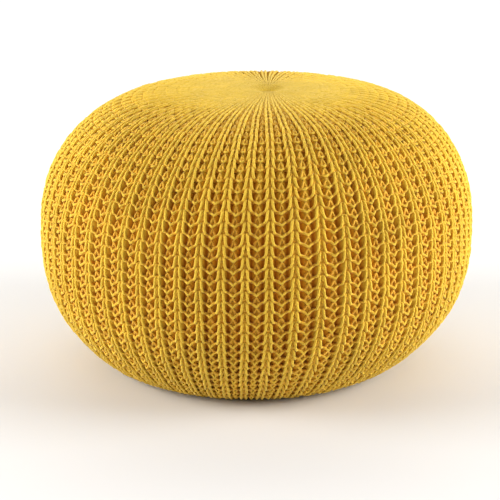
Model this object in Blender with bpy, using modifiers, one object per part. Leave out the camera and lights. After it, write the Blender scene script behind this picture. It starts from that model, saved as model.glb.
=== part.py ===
# A round floor pouf: one knitted cover, filled and gathered shut at its top and base centres.
# Raised ribs run from the top centre down the sides and in under the pouf to the base centre.
import math
from collections import namedtuple

import bpy
from mathutils import Vector

# Driving sizes, in metres
POUF_HEIGHT = 0.350
POUF_WIDTH = 0.550
RIB_COUNT = 64
RIB_RELIEF = 0.0075  # from a rib's crest down to the knitting between two ribs
RIB_FULL_RADIUS = 0.170  # outside this the ribs have their whole relief
RIB_END_RADIUS = 0.038  # inside this they have closed up into the gather
POINTS_PER_RIB = 4  # two along the crest, two in the hollow beside it
CREST_SHARE = 0.25  # of the way from mid crest to mid hollow, still at full height
HOLLOW_SHARE = 0.75  # and from here on at full depth
DIMPLE_DEPTH = 0.007  # where the cover is drawn shut at the top
DIMPLE_RADIUS = 0.013
TOP_LEAN = 0.007  # the filling has slumped: the top sits this far towards +X
BASE_LEAN = -0.0065  # and the base this far from it
GATHER_SHIFT = 0.0095  # and the top gather itself this much further
GATHER_REACH = 0.150

# The side's outline, as shares of the height and of half the width, from top centre to floor
Section = namedtuple("Section", "height radius")
OUTLINE = (
    Section(height=1.000, radius=0.000),
    Section(height=0.999, radius=0.110),
    Section(height=0.996, radius=0.220),
    Section(height=0.993, radius=0.353),
    Section(height=0.984, radius=0.505),
    Section(height=0.950, radius=0.665),
    Section(height=0.877, radius=0.808),
    Section(height=0.771, radius=0.918),
    Section(height=0.643, radius=0.982),
    Section(height=0.506, radius=1.000),
    Section(height=0.367, radius=0.990),
    Section(height=0.236, radius=0.940),
    Section(height=0.121, radius=0.842),
    Section(height=0.034, radius=0.724),
    Section(height=0.000, radius=0.630),
)
BELT_HEIGHT = 0.506  # share of the height at which the pouf is widest
SIDE_RINGS = 14  # rings of points down the side, evenly apart
DIMPLE_RINGS = (0.006, 0.014, 0.028)  # radii of the rings in the top gather
BASE_RINGS = (0.120, 0.080, 0.038)  # radii of the rings on the flat base
STEPS_PER_SECTION = 24

# Where the ribs have drifted off an even spacing, counted in ribs to the right from the front
RibDrift = namedtuple("RibDrift", "centre reach shift")
RIB_DRIFTS = (
    RibDrift(centre=-7.0, reach=3.0, shift=0.27),
    RibDrift(centre=3.8, reach=2.2, shift=0.42),
    RibDrift(centre=8.5, reach=3.5, shift=0.42),
    RibDrift(centre=21.0, reach=4.0, shift=-0.22),
    RibDrift(centre=31.0, reach=4.0, shift=0.30),
    RibDrift(centre=-21.0, reach=5.0, shift=-0.30),
)


def clear_scene():
    for existing in list(bpy.data.objects):
        bpy.data.objects.remove(existing, do_unlink=True)


def make_collection(name):
    collection = bpy.data.collections.new(name)
    bpy.context.scene.collection.children.link(collection)
    return collection


def smooth_share(value, low, high):
    share = min(max((value - low) / (high - low), 0.0), 1.0)
    return share * share * (3.0 - 2.0 * share)


def section_point(index):
    section = OUTLINE[min(max(index, 0), len(OUTLINE) - 1)]
    return Vector((section.radius * POUF_WIDTH / 2, section.height * POUF_HEIGHT))


def outline_curve():
    """The outline as many close points, on a smooth curve through its sections."""
    points = []
    for index in range(len(OUTLINE) - 1):
        before, start = section_point(index - 1), section_point(index)
        end, after = section_point(index + 1), section_point(index + 2)
        for step in range(STEPS_PER_SECTION):
            t = step / STEPS_PER_SECTION
            points.append(
                0.5
                * (
                    2.0 * start
                    + (end - before) * t
                    + (2.0 * before - 5.0 * start + 4.0 * end - after) * t**2
                    + (3.0 * start - before - 3.0 * end + after) * t**3
                )
            )
    points.append(section_point(len(OUTLINE) - 1))
    return points


def evenly_spaced(points, count):
    """count points along the curve at equal distances, the last at its end."""
    lengths = [0.0]
    for start, end in zip(points, points[1:]):
        lengths.append(lengths[-1] + (end - start).length)
    spaced = []
    index = 0
    for step in range(1, count + 1):
        wanted = lengths[-1] * step / count
        while index < len(points) - 2 and lengths[index + 1] < wanted:
            index += 1
        share = (wanted - lengths[index]) / (lengths[index + 1] - lengths[index])
        spaced.append(points[index].lerp(points[index + 1], share))
    return spaced


def gather_dip(radius):
    return DIMPLE_DEPTH * math.exp(-((radius / DIMPLE_RADIUS) ** 2))


def profile_points():
    """Half of the upright section, from the top centre down the outer side to the base centre."""
    curve = outline_curve()
    top_rings = [Vector((radius, POUF_HEIGHT)) for radius in (0.0, *DIMPLE_RINGS)]
    for point in top_rings:
        point.y -= gather_dip(point.x)
    outer_radius = DIMPLE_RINGS[-1]
    side = [point for point in curve if point.x >= outer_radius or point.y < POUF_HEIGHT / 2]
    side_rings = evenly_spaced(side, SIDE_RINGS)
    base_rings = [Vector((radius, 0.0)) for radius in (*BASE_RINGS, 0.0)]
    return top_rings + side_rings + base_rings


def make_turned_cover(collection):
    """The smooth cover before its ribs, turned about the upright axis."""
    mesh = bpy.data.meshes.new("knitted_pouf")
    points = [(point.x, 0.0, point.y) for point in profile_points()]
    mesh.from_pydata(points, [(i, i + 1) for i in range(len(points) - 1)], [])
    cover = bpy.data.objects.new("knitted_pouf", mesh)
    collection.objects.link(cover)
    screw = cover.modifiers.new("turn", "SCREW")
    screw.axis = "Z"
    screw.angle = math.tau
    screw.steps = RIB_COUNT * POINTS_PER_RIB
    screw.render_steps = screw.steps
    screw.use_merge_vertices = True
    screw.merge_threshold = 0.00005
    graph = bpy.context.evaluated_depsgraph_get()
    turned = bpy.data.meshes.new_from_object(cover.evaluated_get(graph))
    cover.modifiers.clear()
    cover.data = turned
    bpy.data.meshes.remove(mesh)
    turned.name = "knitted_pouf"
    return cover


def rib_depth(point):
    """How far a point of the cover lies under the ribs' crests."""
    radius = math.hypot(point.x, point.y)
    turn = math.atan2(point.y, point.x) / math.tau * RIB_COUNT
    from_crest = abs(turn - math.floor(turn) - 0.5) * 2.0
    in_hollow = smooth_share(from_crest, CREST_SHARE, HOLLOW_SHARE)
    return RIB_RELIEF * in_hollow * smooth_share(radius, RIB_END_RADIUS, RIB_FULL_RADIUS)


def lean_of(point):
    """The sideways slump at a point, towards +X above the belt and -X below it."""
    radius = math.hypot(point.x, point.y)
    share = point.z / POUF_HEIGHT
    if share < BELT_HEIGHT:
        return BASE_LEAN * (1.0 - share / BELT_HEIGHT) ** 2
    above = (share - BELT_HEIGHT) / (1.0 - BELT_HEIGHT)
    drawn = max(1.0 - radius / GATHER_REACH, 0.0) ** 2
    return TOP_LEAN * above**2 + GATHER_SHIFT * drawn * above


def turn_about_axis(mesh, angle):
    for vertex in mesh.vertices:
        x, y, z = vertex.co
        vertex.co = (
            x * math.cos(angle) - y * math.sin(angle),
            x * math.sin(angle) + y * math.cos(angle),
            z,
        )


def raise_ribs(cover):
    mesh = cover.data
    # Half a step round puts two points on each crest and two in each hollow.
    turn_about_axis(mesh, math.pi / (RIB_COUNT * POINTS_PER_RIB))
    mesh.update()
    lowered = [vertex.co - vertex.normal * rib_depth(vertex.co) for vertex in mesh.vertices]
    for vertex, place in zip(mesh.vertices, lowered):
        vertex.co = place


def rib_drift(turn):
    """How many ribs a point has drifted to the right, from its place in ribs off the front."""
    drift = 0.0
    for row in RIB_DRIFTS:
        away = (turn - row.centre + RIB_COUNT / 2) % RIB_COUNT - RIB_COUNT / 2
        drift += row.shift * math.exp(-((away / row.reach) ** 2))
    return drift


def drift_ribs(cover):
    for vertex in cover.data.vertices:
        x, y, z = vertex.co
        radius = math.hypot(x, y)
        angle = math.atan2(y, x)
        turn = (angle + math.pi / 2) / math.tau * RIB_COUNT
        angle += rib_drift(turn) * math.tau / RIB_COUNT
        vertex.co = (radius * math.cos(angle), radius * math.sin(angle), z)


def slump(cover):
    mesh = cover.data
    for vertex in mesh.vertices:
        vertex.co.x += lean_of(vertex.co)
    lowest = min(vertex.co.z for vertex in mesh.vertices)
    low_x, high_x = (pick(vertex.co.x for vertex in mesh.vertices) for pick in (min, max))
    low_y, high_y = (pick(vertex.co.y for vertex in mesh.vertices) for pick in (min, max))
    to_origin = Vector((-(low_x + high_x) / 2, -(low_y + high_y) / 2, -lowest))
    for vertex in mesh.vertices:
        vertex.co += to_origin
    mesh.update()


def make_yarn_material():
    material = bpy.data.materials.new("mustard_yarn")
    material.use_nodes = True
    shader = material.node_tree.nodes["Principled BSDF"]
    shader.inputs["Base Color"].default_value = (0.78, 0.47, 0.07, 1.0)
    shader.inputs["Roughness"].default_value = 0.9
    shader.inputs["Metallic"].default_value = 0.0
    return material


def make_pouf():
    collection = make_collection("knitted_floor_pouf")
    cover = make_turned_cover(collection)
    raise_ribs(cover)
    drift_ribs(cover)
    slump(cover)
    cover.data.shade_smooth()
    cover.data.materials.clear()
    cover.data.materials.append(make_yarn_material())
    return cover


clear_scene()
make_pouf()
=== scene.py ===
import math
from collections import namedtuple

import bpy
import numpy as np
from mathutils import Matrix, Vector


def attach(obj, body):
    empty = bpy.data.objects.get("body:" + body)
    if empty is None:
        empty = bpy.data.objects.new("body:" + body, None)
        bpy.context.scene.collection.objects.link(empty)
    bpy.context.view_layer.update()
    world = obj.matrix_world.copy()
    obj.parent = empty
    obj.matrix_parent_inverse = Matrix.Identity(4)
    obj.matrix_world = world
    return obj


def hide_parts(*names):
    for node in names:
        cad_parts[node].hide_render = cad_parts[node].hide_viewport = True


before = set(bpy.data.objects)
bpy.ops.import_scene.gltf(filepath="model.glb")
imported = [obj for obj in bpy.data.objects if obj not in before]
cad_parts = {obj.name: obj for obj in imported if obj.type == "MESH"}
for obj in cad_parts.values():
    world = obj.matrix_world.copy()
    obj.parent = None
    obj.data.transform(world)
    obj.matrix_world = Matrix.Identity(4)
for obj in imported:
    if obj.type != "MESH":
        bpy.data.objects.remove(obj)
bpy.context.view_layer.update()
print("frame loaded:", sorted(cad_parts))

mm = 0.001

# the pouf as a whole, in metres; its form is the solid's own
pouf = {
    "width": 0.550,
    "height": 0.350,
    "ribs": 64,
    "beltHeight": 0.506,  # share of the height at which it is widest
    "dimpleDepth": 0.007,
    "dimpleRadius": 0.013,
    "topLean": 0.007,  # the top has slumped this far towards +X
    "baseLean": -0.0065,
    "gatherShift": 0.0095,  # and the top gather this much further
    "gatherReach": 0.150,
    "seed": 64,
}
Section = namedtuple("Section", "height radius")  # shares of the height and of half the width
outline = (
    Section(height=1.000, radius=0.000),
    Section(height=0.999, radius=0.110),
    Section(height=0.996, radius=0.220),
    Section(height=0.993, radius=0.353),
    Section(height=0.984, radius=0.505),
    Section(height=0.950, radius=0.665),
    Section(height=0.877, radius=0.808),
    Section(height=0.771, radius=0.918),
    Section(height=0.643, radius=0.982),
    Section(height=0.506, radius=1.000),
    Section(height=0.367, radius=0.990),
    Section(height=0.236, radius=0.940),
    Section(height=0.121, radius=0.842),
    Section(height=0.034, radius=0.724),
    Section(height=0.000, radius=0.630),
)
RibShift = namedtuple("RibShift", "centre reach shift")  # in ribs, counted to the right from the front
ribShifts = (
    RibShift(centre=-7.0, reach=3.0, shift=0.27),
    RibShift(centre=3.8, reach=2.2, shift=0.42),
    RibShift(centre=8.5, reach=3.5, shift=0.42),
    RibShift(centre=21.0, reach=4.0, shift=-0.22),
    RibShift(centre=31.0, reach=4.0, shift=0.30),
    RibShift(centre=-21.0, reach=5.0, shift=-0.30),
)
# how finely the outline is worked out
outlineSteps = 60  # between two sections
baseSteps = 200  # across the flat base
profileSteps = 2400  # from the top centre to the base centre, evenly apart
evenedOver = 81  # of those steps, for a smooth outward direction


def smoothShare(value, low, high):
    share = np.clip((value - low) / (high - low), 0, 1)
    return share * share * (3 - 2 * share)


def outlineCurve():
    rows = np.array([(s.radius * pouf["width"] / 2, s.height * pouf["height"]) for s in outline])
    rows = np.vstack([rows[:1], rows, rows[-1:]])
    t = np.linspace(0, 1, outlineSteps, endpoint=False)[:, None]
    parts = []
    for before, start, end, after in zip(rows, rows[1:], rows[2:], rows[3:]):
        bend = 2 * before - 5 * start + 4 * end - after
        swing = 3 * start - before - 3 * end + after
        parts.append(0.5 * (2 * start + (end - before) * t + bend * t**2 + swing * t**3))
    return np.vstack(parts + [rows[-1:]])


def makeProfile():
    side = outlineCurve()
    base = np.linspace(side[-1, 0], 0, baseSteps)[1:]
    points = np.vstack([side, np.column_stack([base, np.zeros(len(base))])])
    radius, height = points.T
    dimple = pouf["dimpleDepth"] * np.exp(-((radius / pouf["dimpleRadius"]) ** 2))
    height = height - np.where(height > pouf["height"] / 2, dimple, 0)
    arc = np.concatenate([[0], np.cumsum(np.hypot(np.diff(radius), np.diff(height)))])
    even = np.linspace(0, arc[-1], profileSteps)
    radius, height = np.interp(even, arc, radius), np.interp(even, arc, height)
    weights = np.hanning(evenedOver)
    weights /= weights.sum()
    # outward is square to the way the profile runs, radially and up
    outward = []
    for part in (-np.gradient(height), np.gradient(radius)):
        padded = np.pad(part, evenedOver // 2, mode="edge")
        outward.append(np.convolve(padded, weights, mode="valid"))
    length = np.hypot(*outward)
    return {
        "arc": even,
        "radius": radius,
        "height": height,
        "outRadial": outward[0] / length,
        "outUp": outward[1] / length,
    }


profile = makeProfile()
coverLength = float(profile["arc"][-1])
print("cover, top centre to base centre: %.0f mm" % (coverLength / mm))


def shiftOfRibs(turn):
    shifted = np.zeros_like(turn)
    for row in ribShifts:
        away = (turn - row.centre + pouf["ribs"] / 2) % pouf["ribs"] - pouf["ribs"] / 2
        shifted = shifted + row.shift * np.exp(-((away / row.reach) ** 2))
    return shifted


def leanAt(height, radius):
    share = height / pouf["height"]
    below = pouf["baseLean"] * np.clip(1 - share / pouf["beltHeight"], 0, 1) ** 2
    above = np.clip((share - pouf["beltHeight"]) / (1 - pouf["beltHeight"]), 0, None)
    drawn = np.clip(1 - radius / pouf["gatherReach"], 0, 1) ** 2
    return below + pouf["topLean"] * above**2 + pouf["gatherShift"] * drawn * above


def placeOnCover(turn, arc, under):
    # turn counts ribs to the right from the front, arc runs down from the top centre
    arc = np.clip(arc, 0, coverLength)
    radius = np.interp(arc, profile["arc"], profile["radius"])
    height = np.interp(arc, profile["arc"], profile["height"])
    outRadial = np.interp(arc, profile["arc"], profile["outRadial"])
    outUp = np.interp(arc, profile["arc"], profile["outUp"])
    angle = (turn + shiftOfRibs(turn)) * math.tau / pouf["ribs"] - math.pi / 2
    reach = radius - outRadial * under
    up = height - outUp * under
    return np.column_stack(
        [reach * np.cos(angle) + leanAt(height, radius), reach * np.sin(angle), up]
    )


def spaceAt(arc):
    # millimetres between ribs so far down the cover
    return math.tau * np.interp(arc, profile["arc"], profile["radius"]) / pouf["ribs"] / mm


def deselectAll():
    if bpy.context.object and bpy.context.object.mode != "OBJECT":
        bpy.ops.object.mode_set(mode="OBJECT")
    bpy.ops.object.select_all(action="DESELECT")


# the knitting, in millimetres
knit = {
    "rowPitch": 13.4,
    "firstRow": 12.7,
    "baseRows": 13,  # the last rows, under the pouf, with squarer yarn
    "rowTilt": 9.0,  # the rows run this much higher at the right side than at the front
    "tiltedFrom": 200.0,  # this far from the axis, and less near the gathers
    "roundness": 1,  # bevel steps of the outer yarn; the other yarn has four sides
    "thinShare": 0.195,  # where ribs crowd, the yarn's radius as a share of the way between them
    "crowdedPitch": 13.5,  # ribs this close run side by side
    "openPitch": 27.0,  # and this far apart their stitches spread
    "leastDepth": 0.30,  # share of a stitch's depth that is left in the gathers
    "gatherPaintedShade": 3.0,
    "gatherPitches": (4.0, 15.0),  # drawn closer than this, the yarn is painted darker, as painted shade of the crowded stitches
    "slipAside": 0.35,  # how far a stitch strays from an even lay
    "slipAbove": 0.40,
    "slipUnder": 0.30,
    "offFloor": 0.2,  # room between the lowest yarn and the floor
}
# half of a stitch's yarn, which the other half mirrors. Each point is given twice, where ribs stand
# apart and where they crowd: aside of the rib's middle, in millimetres or as a share of the way
# between ribs, above the V's tip, and under the outermost yarn
Place = namedtuple("Place", "aside above under")
OnRib = namedtuple("OnRib", "apart crowded")
InHollow = namedtuple("InHollow", "apart crowded")  # aside is a share of the way on to mid hollow
outerYarn = {
    "radius": 1.68,
    "paintedShadeDepth": 0.0,  # painted shade: it is coloured as if it lay this much deeper
    "opensBetween": (12.0, 20.0),  # rib spacings from its crowded to its open shape
    "rib": (
        OnRib(apart=Place(0.0, 19.6, 5.4), crowded=Place(0.000, 18.4, 3.2)),
        OnRib(apart=Place(1.9, 18.8, 3.4), crowded=Place(0.150, 18.0, 2.6)),
        OnRib(apart=Place(2.7, 15.6, 2.0), crowded=Place(0.195, 15.0, 2.0)),
        OnRib(apart=Place(3.2, 10.4, 1.8), crowded=Place(0.208, 9.5, 1.9)),
        OnRib(apart=Place(4.6, 5.8, 2.5), crowded=Place(0.215, 4.4, 2.1)),
    ),
    "hollow": (
        InHollow(apart=Place(0.28, 4.4, 5.6), crowded=Place(0.24, 2.6, 4.6)),
        InHollow(apart=Place(0.66, 2.8, 3.9), crowded=Place(0.60, 1.4, 5.8)),
        InHollow(apart=Place(1.00, 0.0, 1.8), crowded=Place(1.00, 0.4, 5.8)),
    ),
}
innerYarn = {
    "radius": 1.85,
    # painted shade: the inner yarn is coloured as if it lay this much deeper
    "paintedShadeDepth": 1.2,
    "opensBetween": (22.5, 27.0),
    "rib": (
        OnRib(apart=Place(0.0, 13.8, 4.6), crowded=Place(0.000, 14.5, 4.0)),
        OnRib(apart=Place(1.2, 9.6, 4.2), crowded=Place(0.045, 8.0, 3.8)),
        OnRib(apart=Place(4.0, 4.6, 7.4), crowded=Place(0.215, 3.0, 5.6)),
    ),
    "hollow": (
        InHollow(apart=Place(0.36, 2.4, 8.0), crowded=Place(0.34, 1.8, 6.0)),
        InHollow(apart=Place(0.66, 4.4, 6.0), crowded=Place(0.64, 3.8, 4.2)),
        InHollow(apart=Place(0.80, 8.0, 5.2), crowded=Place(0.80, 7.6, 3.4)),
        InHollow(apart=Place(1.00, 11.6, 4.4), crowded=Place(1.00, 11.2, 3.0)),
    ),
}
upperBands = ("knit_top", "knit_shoulder", "knit_belt", "knit_side")
rowCount = int((coverLength / mm - knit["firstRow"]) / knit["rowPitch"])
chance = np.random.RandomState(pouf["seed"])
looseness = chance.normal(0, 1, (4, rowCount, pouf["ribs"])).clip(-2, 2)
print("rows of stitches:", rowCount)


def depthShare(pitch):
    return np.clip(pitch / knit["crowdedPitch"], knit["leastDepth"], 1)


def yarnWay(yarn, pitch):
    # half of a stitch at this spacing, from its rib's middle to mid hollow
    spread = smoothShare(pitch, knit["crowdedPitch"], knit["openPitch"])
    opened = smoothShare(pitch, *yarn["opensBetween"])
    way = []
    for apart, crowded in yarn["rib"]:
        packed = crowded.aside * min(pitch, knit["crowdedPitch"])
        way.append([packed + (apart.aside - packed) * spread, apart, crowded])
    foot = way[-1][0]
    for apart, crowded in yarn["hollow"]:
        share = crowded.aside + (apart.aside - crowded.aside) * opened
        way.append([foot + (pitch / 2 - foot) * share, apart, crowded])
    return [
        Place(
            aside,
            crowded.above + (apart.above - crowded.above) * opened,
            crowded.under + (apart.under - crowded.under) * opened,
        )
        for aside, apart, crowded in way
    ]


def stitchRow(row, yarn):
    crest = np.arange(pouf["ribs"]) + 0.5
    level = (knit["firstRow"] + row * knit["rowPitch"]) * mm
    pitch = spaceAt(level)
    deep = depthShare(pitch)
    thick = min(yarn["radius"], knit["thinShare"] * pitch)
    fromAxis = pitch * pouf["ribs"] / math.tau
    tilt = knit["rowTilt"] * smoothShare(fromAxis, 0, knit["tiltedFrom"])
    slipAside, slipAbove, slipUnder, shade = looseness[:, row]
    # painted shade: the yarn is painted darker where the gathers crowd the ribs
    shade = shade - knit["gatherPaintedShade"] * (1 - smoothShare(pitch, *knit["gatherPitches"]))
    way = yarnWay(yarn, pitch)
    mirrored = [place._replace(aside=-place.aside) for place in way[::-1]]
    whole = mirrored + way[1:-1]
    columns = []
    for place in whole:
        turn = crest + (place.aside + slipAside * knit["slipAside"] * deep) / pitch
        rightward = np.sin(turn * math.tau / pouf["ribs"])
        above = place.above + slipAbove * knit["slipAbove"] * deep + tilt * rightward
        sunk = (place.under + slipUnder * knit["slipUnder"]) * deep * mm
        columns.append((turn, level - above * mm, np.maximum(sunk, thick * mm)))
    turn, arc, sunk = (np.stack(part, 1).ravel() for part in zip(*columns))
    places = placeOnCover(turn, arc, sunk)
    places[:, 2] = np.maximum(places[:, 2], (thick + knit["offFloor"]) * mm)
    return {
        "places": places,
        "thick": thick,
        # painted shade: the colour's depth is pushed deeper than the yarn lies
        "sunk": sunk + yarn["paintedShadeDepth"] * mm,
        "shade": np.repeat(shade, len(whole)),
    }


def storeAttribute(mesh, label, values):
    attribute = mesh.attributes.new(label, "FLOAT", "POINT")
    attribute.data.foreach_set("value", values.astype(np.float32))


def scaleYarnMap(mesh, loops):
    # along the yarn the map counts metres, round it from 0 to 1
    layer = mesh.uv_layers[0]
    layer.name = "yarnLay"
    corners = len(mesh.loops)
    vertexOf = np.empty(corners, np.int32)
    mesh.loops.foreach_get("vertex_index", vertexOf)
    places = np.empty(corners * 2, np.float32)
    layer.data.foreach_get("uv", places)
    places = places.reshape(-1, 2)
    ends = np.cumsum([vertices for vertices, length in loops])
    lengths = np.array([length for vertices, length in loops])
    places[:, 0] *= lengths[np.searchsorted(ends, vertexOf, side="right")]
    layer.data.foreach_set("uv", places.ravel())


def yarnMesh(name, rows, yarn, roundness):
    # one closed loop of yarn a row, all in one curve that becomes the mesh
    curve = bpy.data.curves.new(name, "CURVE")
    curve.dimensions = "3D"
    curve.bevel_depth = mm
    curve.bevel_resolution = roundness
    sides = 4 + 2 * roundness  # that the bevel gives the yarn
    sunk, shade, loops = [], [], []
    for row in rows:
        line = stitchRow(row, yarn)
        places = line["places"]
        spline = curve.splines.new("POLY")
        spline.points.add(len(places) - 1)
        spline.points.foreach_set("co", np.column_stack([places, np.ones(len(places))]).ravel())
        spline.points.foreach_set("radius", np.full(len(places), line["thick"]))
        spline.use_cyclic_u = True
        spline.use_smooth = True
        sunk.append(np.repeat(line["sunk"], sides))
        shade.append(np.repeat(line["shade"], sides))
        steps = np.linalg.norm(np.diff(np.vstack([places, places[:1]]), axis=0), axis=1)
        loops.append((len(places) * sides, steps.sum()))
    piece = bpy.data.objects.new(name, curve)
    bpy.context.scene.collection.objects.link(piece)
    deselectAll()
    piece.select_set(True)
    bpy.context.view_layer.objects.active = piece
    bpy.ops.object.convert(target="MESH")
    storeAttribute(piece.data, "sunk", np.concatenate(sunk))
    storeAttribute(piece.data, "shade", np.concatenate(shade))
    scaleYarnMap(piece.data, loops)
    return piece


def joinPieces(name, parts):
    deselectAll()
    for part in parts:
        part.select_set(True)
    bpy.context.view_layer.objects.active = parts[0]
    bpy.ops.object.join()
    joined = bpy.context.view_layer.objects.active
    joined.name = name
    joined.data.name = name
    return joined


def makeBand(name, rows, roundness):
    outer = yarnMesh(name, rows, outerYarn, roundness)
    inner = yarnMesh(name + "_inner", rows, innerYarn, 0)
    band = joinPieces(name, [outer, inner])
    print(name, len(rows), "rows,", len(band.data.polygons) * 2, "triangles")
    return band


def makeKnitting():
    firstBase = rowCount - knit["baseRows"]
    rowsOfBands = np.array_split(np.arange(firstBase), len(upperBands))
    bands = []
    for name, rows in zip(upperBands, rowsOfBands):
        bands.append(makeBand(name, rows, knit["roundness"]))
    bands.append(makeBand("knit_base", np.arange(firstBase, rowCount), 0))
    return bands


# the filled form that shows between the stitches, coloured dark by depth as painted shade; depths in
# millimetres under the outermost yarn
core = {
    "pointsPerRib": 8,
    "rings": 72,
    "underRib": 4.3,
    "groove": (6.8, 10.6),  # beside a rib, where ribs crowd and where they stand apart
    "middle": (3.6, 6.2),  # midway between two ribs, in the same order
    "ribSlope": (0.2, 0.5),  # shares of the way from mid rib to mid hollow
    "middleSlope": (0.5, 0.88),
    "offFloor": 2.0,
}


def makeCore():
    deselectAll()
    bpy.ops.mesh.primitive_uv_sphere_add(
        segments=pouf["ribs"] * core["pointsPerRib"], ring_count=core["rings"], radius=1
    )
    piece = bpy.context.object
    piece.name = piece.data.name = "filled_cover"
    mesh = piece.data
    places = np.empty(len(mesh.vertices) * 3, np.float32)
    mesh.vertices.foreach_get("co", places)
    places = places.reshape(-1, 3)
    arc = np.arccos(places[:, 2].clip(-1, 1)) / math.pi * coverLength
    turn = (np.arctan2(places[:, 1], places[:, 0]) + math.pi / 2) / math.tau * pouf["ribs"]
    fromCrest = np.abs(turn - np.floor(turn) - 0.5) * 2
    pitch = spaceAt(arc)
    spread = smoothShare(pitch, knit["crowdedPitch"], knit["openPitch"])
    opened = smoothShare(pitch, *innerYarn["opensBetween"])
    groove = core["groove"][0] + (core["groove"][1] - core["groove"][0]) * spread
    middle = core["middle"][0] + (core["middle"][1] - core["middle"][0]) * opened
    deep = core["underRib"] + (groove - core["underRib"]) * smoothShare(fromCrest, *core["ribSlope"])
    deep = deep + (middle - groove) * smoothShare(fromCrest, *core["middleSlope"])
    under = deep * depthShare(pitch) * mm
    moved = placeOnCover(turn, arc, under)
    moved[:, 2] = np.maximum(moved[:, 2], core["offFloor"] * mm)
    mesh.vertices.foreach_set("co", moved.astype(np.float32).ravel())
    # this depth paints the filled form darker in cover_inside, as painted shade between the stitches
    storeAttribute(mesh, "sunk", under)
    storeAttribute(mesh, "shade", np.zeros(len(under)))
    mesh.update()
    bpy.ops.object.shade_smooth()
    print("filled_cover", len(mesh.vertices), "points")
    return piece


# the colours go by depth, in centimetres under the outermost yarn; deeper is painted browner and darker,
# as painted shade in the hollows between the stitches
yarnLook = {
    "sheen": 0.25,
    "sheenRoughness": 0.5,
    "sheenTint": (1.0, 0.85, 0.5, 1),
    "roughness": 0.85,
    "specular": 0.2,
    # the yarn: painted shade, browner and darker the deeper it lies
    "outside": (
        (0.20, (0.75, 0.505, 0.046, 1)),
        (0.55, (0.73, 0.405, 0.034, 1)),
        (0.95, (0.62, 0.245, 0.012, 1)),
    ),
    # the filled form: painted shade, darker brown the deeper it lies between the stitches
    "inside": (
        (0.48, (0.76, 0.49, 0.036, 1)),
        (0.78, (0.68, 0.315, 0.016, 1)),
        (1.00, (0.56, 0.190, 0.006, 1)),
    ),
    "stitchTone": 0.03,  # how much one stitch differs from another; it also scales the painted shade at the gathers
    "fuzzTone": 0.44,  # and one fibre from another
    "lowTone": 0.76,  # of the dullest fibre
    "fibreScale": 900,
    "fibreDetail": 3,
    "patchScale": 14,
    "reliefStrength": 0.6,
    "relief": 0.0004,  # metres
    "plies": 3,
    "plyLength": 0.0035,  # metres of yarn to one turn of its plies
    "plyRelief": 0.35,
}


def newNode(tree, kind, x, y, **values):
    node = tree.nodes.new(kind)
    node.location = (x, y)
    for key, value in values.items():
        setattr(node, key, value)
    return node


def mathNode(tree, operation, x, y, *terms):
    # a term is a number, or the socket that gives one
    node = newNode(tree, "ShaderNodeMath", x, y, operation=operation)
    for socket, term in zip(node.inputs, terms):
        if isinstance(term, bpy.types.NodeSocket):
            tree.links.new(term, socket)
        else:
            socket.default_value = term
    return node.outputs[0]


def fibreGroup():
    tree = bpy.data.node_groups.new("fibreFuzz", "ShaderNodeTree")
    for name, way in (("Scale", "INPUT"), ("Tone", "OUTPUT"), ("Height", "OUTPUT")):
        tree.interface.new_socket(name=name, socket_type="NodeSocketFloat", in_out=way)
    given = newNode(tree, "NodeGroupInput", -700, 0)
    put = newNode(tree, "NodeGroupOutput", 300, 0)
    where = newNode(tree, "ShaderNodeTexCoord", -700, 200)
    fine = newNode(tree, "ShaderNodeTexNoise", -300, 100)
    fine.inputs["Detail"].default_value = yarnLook["fibreDetail"]
    broad = newNode(tree, "ShaderNodeTexNoise", -300, -200)
    broad.inputs["Scale"].default_value = yarnLook["patchScale"]
    tree.links.new(where.outputs["Object"], fine.inputs["Vector"])
    tree.links.new(where.outputs["Object"], broad.inputs["Vector"])
    tree.links.new(given.outputs["Scale"], fine.inputs["Scale"])
    half = mathNode(tree, "MULTIPLY", -120, -260, broad.outputs["Fac"], 0.5)
    mean = mathNode(tree, "MULTIPLY_ADD", 0, -60, fine.outputs["Fac"], 0.5, half)
    tree.links.new(mean, put.inputs["Tone"])
    tree.links.new(fine.outputs["Fac"], put.inputs["Height"])
    return tree


def plyRelief(tree, fuzzHeight):
    # the plies wind round the yarn as its map runs along it
    lay = newNode(tree, "ShaderNodeUVMap", -1500, -450, uv_map="yarnLay")
    parts = newNode(tree, "ShaderNodeSeparateXYZ", -1300, -450)
    tree.links.new(lay.outputs["UV"], parts.inputs[0])
    perMetre = math.tau / yarnLook["plyLength"]
    along = mathNode(tree, "MULTIPLY", -1100, -400, parts.outputs["X"], perMetre)
    onceRound = math.tau * yarnLook["plies"]
    wound = mathNode(tree, "MULTIPLY_ADD", -900, -450, parts.outputs["Y"], onceRound, along)
    strand = mathNode(tree, "SINE", -700, -450, wound)
    share = yarnLook["plyRelief"]
    return mathNode(tree, "MULTIPLY_ADD", -500, -350, strand, share, fuzzHeight)


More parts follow.
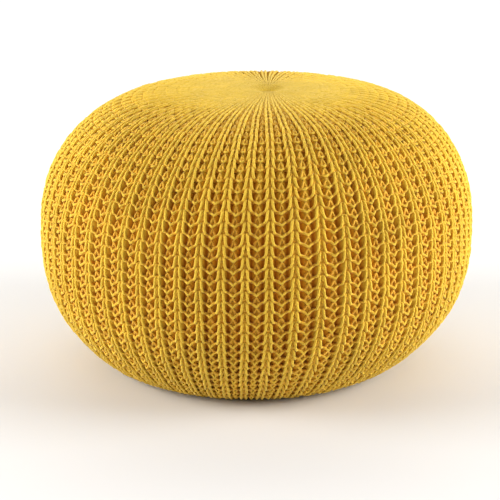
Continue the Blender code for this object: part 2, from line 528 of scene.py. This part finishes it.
def yarnMaterial(name, fibres, stops, plied):
    material = bpy.data.materials.new(name)
    material.use_nodes = True
    tree = material.node_tree
    links = tree.links
    shader = tree.nodes["Principled BSDF"]
    shader.inputs["Roughness"].default_value = yarnLook["roughness"]
    shader.inputs["Specular IOR Level"].default_value = yarnLook["specular"]
    shader.inputs["Sheen Weight"].default_value = yarnLook["sheen"]
    shader.inputs["Sheen Roughness"].default_value = yarnLook["sheenRoughness"]
    shader.inputs["Sheen Tint"].default_value = yarnLook["sheenTint"]
    fuzz = newNode(tree, "ShaderNodeGroup", -1200, -100, node_tree=fibres)
    fuzz.inputs["Scale"].default_value = yarnLook["fibreScale"]
    # painted shade by depth, then a tone of its own for each stitch and fibre; the stitch tone also
    # carries the painted shade at the gathers
    sunk = newNode(tree, "ShaderNodeAttribute", -1200, 300, attribute_name="sunk")
    depth = mathNode(tree, "MULTIPLY", -1000, 300, sunk.outputs["Fac"], 100)  # in centimetres
    ramp = newNode(tree, "ShaderNodeValToRGB", -800, 300)
    elements = ramp.color_ramp.elements
    while len(elements) < len(stops):
        elements.new(0.5)
    for element, (position, colour) in zip(elements, stops):
        element.position = position
        element.color = colour
    links.new(depth, ramp.inputs["Fac"])
    shade = newNode(tree, "ShaderNodeAttribute", -1200, 100, attribute_name="shade")
    ofFibre = mathNode(
        tree, "MULTIPLY_ADD", -900, -150, fuzz.outputs["Tone"], yarnLook["fuzzTone"], yarnLook["lowTone"]
    )
    tone = mathNode(
        tree, "MULTIPLY_ADD", -650, 0, shade.outputs["Fac"], yarnLook["stitchTone"], ofFibre
    )
    tint = newNode(tree, "ShaderNodeHueSaturation", -400, 250)
    links.new(ramp.outputs["Color"], tint.inputs["Color"])
    links.new(tone, tint.inputs["Value"])
    links.new(tint.outputs["Color"], shader.inputs["Base Color"])
    bump = newNode(tree, "ShaderNodeBump", -250, -250)
    bump.inputs["Strength"].default_value = yarnLook["reliefStrength"]
    bump.inputs["Distance"].default_value = yarnLook["relief"]
    height = fuzz.outputs["Height"]
    links.new(plyRelief(tree, height) if plied else height, bump.inputs["Height"])
    links.new(bump.outputs["Normal"], shader.inputs["Normal"])
    print("material:", name)
    return material


floorLook = {
    "size": 14,
    "colour": (0.72, 0.72, 0.71, 1),
    "roughness": 0.9,
}


def makeFloor():
    deselectAll()
    bpy.ops.mesh.primitive_plane_add(size=floorLook["size"], location=(0, 0, 0))
    floor = bpy.context.object
    floor.name = "studio_floor"
    material = bpy.data.materials.new("pale_floor")
    material.use_nodes = True
    shader = material.node_tree.nodes["Principled BSDF"]
    shader.inputs["Base Color"].default_value = floorLook["colour"]
    shader.inputs["Roughness"].default_value = floorLook["roughness"]
    floor.data.materials.append(material)


white = (1.0, 1.0, 1.0)
warmWhite = (1.0, 0.80, 0.68)
Lamp = namedtuple("Lamp", "place aim size power colour")
lights = {
    "left": Lamp(place=(-2.6, -0.45, 1.0), aim=(0, 0, 0.15), size=1.5, power=84, colour=white),
    "right": Lamp(place=(2.6, -0.45, 1.0), aim=(0, 0, 0.15), size=1.5, power=89, colour=white),
    # panels that look straight down and keep the floor pale all round
    "behind": Lamp(place=(0, 3.4, 2.4), aim=(0, 3.4, 0), size=5.0, power=150, colour=white),
    "ahead": Lamp(place=(0, -4.6, 2.4), aim=(0, -4.6, 0), size=5.0, power=87, colour=warmWhite),
    "farLeft": Lamp(place=(-5.2, 0, 2.4), aim=(-5.2, 0, 0), size=5.0, power=150, colour=white),
    "farRight": Lamp(place=(5.2, 0, 2.4), aim=(5.2, 0, 0), size=5.0, power=150, colour=white),
}
roomLight = 0.10  # from all round, beside the lamps


def makeLights():
    for name, say in lights.items():
        bpy.ops.object.light_add(type="AREA", location=say.place)
        lamp = bpy.context.object
        lamp.name = "light_" + name
        lamp.data.size = say.size
        lamp.data.energy = say.power
        lamp.data.color = say.colour
        towards = Vector(say.aim) - lamp.location
        lamp.rotation_euler = towards.to_track_quat("-Z", "Y").to_euler()


def makeRoom():
    world = bpy.context.scene.world or bpy.data.worlds.new("studio")
    bpy.context.scene.world = world
    world.use_nodes = True
    tree = world.node_tree
    dim = tree.nodes["Background"]
    dim.inputs["Color"].default_value = (*white, 1)
    dim.inputs["Strength"].default_value = roomLight
    # past the floor's edge the studio's wall shows white
    wall = newNode(tree, "ShaderNodeBackground", 0, -200)
    wall.inputs["Color"].default_value = (*white, 1)
    seen = newNode(tree, "ShaderNodeLightPath", 0, 200)
    either = newNode(tree, "ShaderNodeMixShader", 250, 0)
    tree.links.new(seen.outputs["Is Camera Ray"], either.inputs[0])
    tree.links.new(dim.outputs[0], either.inputs[1])
    tree.links.new(wall.outputs[0], either.inputs[2])
    tree.links.new(either.outputs[0], tree.nodes["World Output"].inputs["Surface"])
    bpy.context.scene.view_settings.view_transform = "Standard"


# the photograph's view, fitted to the pouf's outline and rows of stitches
camera = {
    "elevation": 16.21,  # degrees above the horizon
    "distance": 2.2,
    "aimHeight": 0.178,
    "focalPixels": 1717.0,
    "centre": (256.6, 219.5),  # where the aim lies in the frame
    "frameSide": 500,
    "sensor": 36.0,
}


def makeCamera():
    tilt = math.radians(camera["elevation"])
    away = camera["distance"]
    bpy.ops.object.camera_add(
        location=(0, -away * math.cos(tilt), camera["aimHeight"] + away * math.sin(tilt))
    )
    eye = bpy.context.object
    half = camera["frameSide"] / 2
    aside = math.atan((camera["centre"][0] - half) / camera["focalPixels"])
    down = math.atan((half - camera["centre"][1]) / camera["focalPixels"])
    eye.rotation_euler = (math.pi / 2 - tilt - down, 0, aside)
    eye.data.sensor_width = camera["sensor"]
    eye.data.lens = camera["focalPixels"] / camera["frameSide"] * camera["sensor"]
    bpy.context.scene.camera = eye


knitted = makeKnitting()
filled = makeCore()
fibres = fibreGroup()
yarn = yarnMaterial("mustard_yarn", fibres, yarnLook["outside"], plied=True)
inside = yarnMaterial("cover_inside", fibres, yarnLook["inside"], plied=False)
for piece in knitted:
    piece.data.materials.clear()
    piece.data.materials.append(yarn)
    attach(piece, "root")
filled.data.materials.append(inside)
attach(filled, "root")
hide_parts("knitted_pouf")
print("knitting and filled cover ride the body")
makeFloor()
makeLights()
makeRoom()
makeCamera()
print("studio ready,", len(lights), "lamps")
